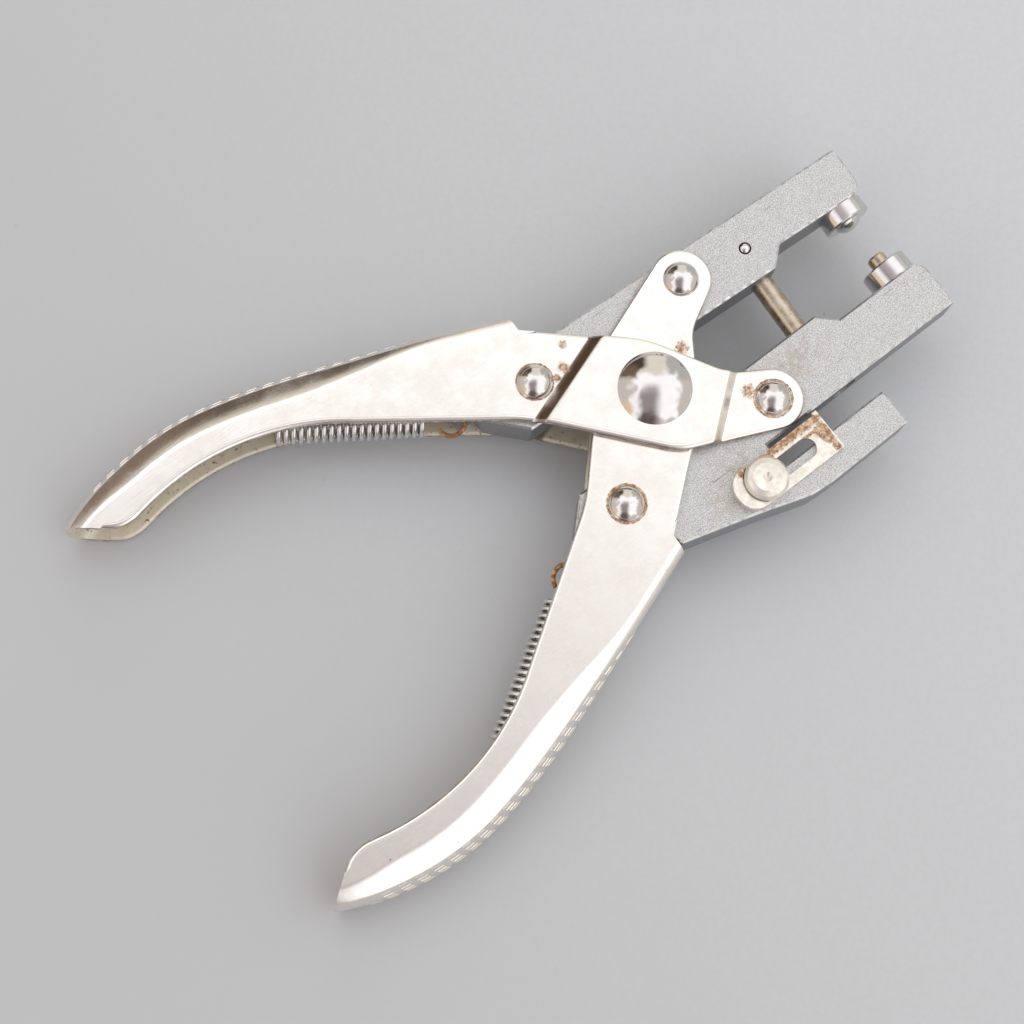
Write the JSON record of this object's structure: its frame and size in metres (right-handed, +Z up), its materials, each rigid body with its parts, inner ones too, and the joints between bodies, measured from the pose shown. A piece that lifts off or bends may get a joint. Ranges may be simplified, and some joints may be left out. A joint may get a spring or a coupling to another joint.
{
  "type": "eyelet pliers",
  "caption": "Hand pliers whose crossed handles close parallel jaws carrying an eyelet-setting die and a sprung pilot, with a sliding gauge plate beside a fork.",
  "frame": {"origin": "on the plane that the lower rivet head rests on, below the middle of the whole outline with the jaws open", "axes": "+X forward along the jaws, +Y towards the jaw without the fork, +Z up through the thickness, towards the side with the thumb screw"},
  "size_m": [0.1593, 0.096, 0.0216],
  "materials": {
    "bright_nickel": "bright nickel plate, worn and freckled with rust",
    "blasted_steel": "fine sand-textured nickel plate with bright edges",
    "spring_wire": "bright drawn wire with rusty hooks",
    "worn_steel": "tan, stained and pitted steel",
    "polished_steel": "polished",
    "dull_nickel": "dull nickel plate, cream toned, rusty at the edges"
  },
  "bodies": {
    "handle_a": {"handle_a_shell": "bright_nickel", "main_rivet": "bright_nickel", "lug_rivet_a": "bright_nickel", "rear_pin_a": "bright_nickel", "spring_peg_a": "bright_nickel", "return_spring_a": "spring_wire"},
    "handle_b": {"handle_b_shell": "bright_nickel", "spacer_sleeve": "bright_nickel", "lug_rivet_b": "bright_nickel", "rear_pin_b": "bright_nickel", "spring_peg_b": "bright_nickel", "return_spring_b": "spring_wire"},
    "upper_jaw": {"upper_jaw_bar": "blasted_steel", "guide_rod": "worn_steel", "cross_pin": "polished_steel", "upper_die": "polished_steel"},
    "lower_jaw": {"lower_jaw_bar": "blasted_steel", "lower_die": "polished_steel", "pilot_spring": "spring_wire"},
    "pilot": {"pilot_pin": "worn_steel"},
    "gauge": {"slide_plate": "dull_nickel"},
    "screw": {"thumb_screw": "dull_nickel"}
  },
  "joints": [
    {"name": "handle_squeeze", "type": "hinge", "parent": "handle_a", "child": "handle_b", "pos_m": [0.02292, 0, 0.0108], "axis": [0, 0, -1], "range_deg": [0, 32], "stiffness_Nm_per_rad": 0.6, "springref_deg": -11.46, "deforming": ["return_spring_a", "return_spring_b"]},
    {"name": "lower_jaw_turn", "type": "hinge", "parent": "handle_a", "child": "lower_jaw", "pos_m": [0.03993, -0.01417, 0.0108], "axis": [0, 0, -1], "range_deg": [0, 17.6]},
    {"name": "upper_jaw_turn", "type": "hinge", "parent": "handle_b", "child": "upper_jaw", "pos_m": [0.03993, 0.01417, 0.0108], "axis": [0, 0, 1], "range_deg": [0, 17.6]},
    {"name": "pilot_sink", "type": "slide", "parent": "lower_jaw", "child": "pilot", "axis": [0.0279, -0.9996, 0], "range_m": [0, 0.002], "stiffness_N_per_m": 400, "springref_m": -0.001, "deforming": ["pilot_spring"]},
    {"name": "gauge_slide", "type": "slide", "parent": "lower_jaw", "child": "gauge", "axis": [-0.9996, -0.0279, 0], "range_m": [0, 0.0098]},
    {"name": "screw_turn", "type": "hinge", "parent": "lower_jaw", "child": "screw", "pos_m": [0.02934, -0.02557, 0.0168], "axis": [0, 0, 1], "continuous": true}
  ],
  "couplings": [
    {"joint": "lower_jaw_turn", "follows": "handle_squeeze", "ratio": 0.55},
    {"joint": "upper_jaw_turn", "follows": "handle_squeeze", "ratio": 0.55},
    {"joint": "pilot_sink", "follows": "handle_squeeze", "m_per_rad": 0.00358}
  ]
}
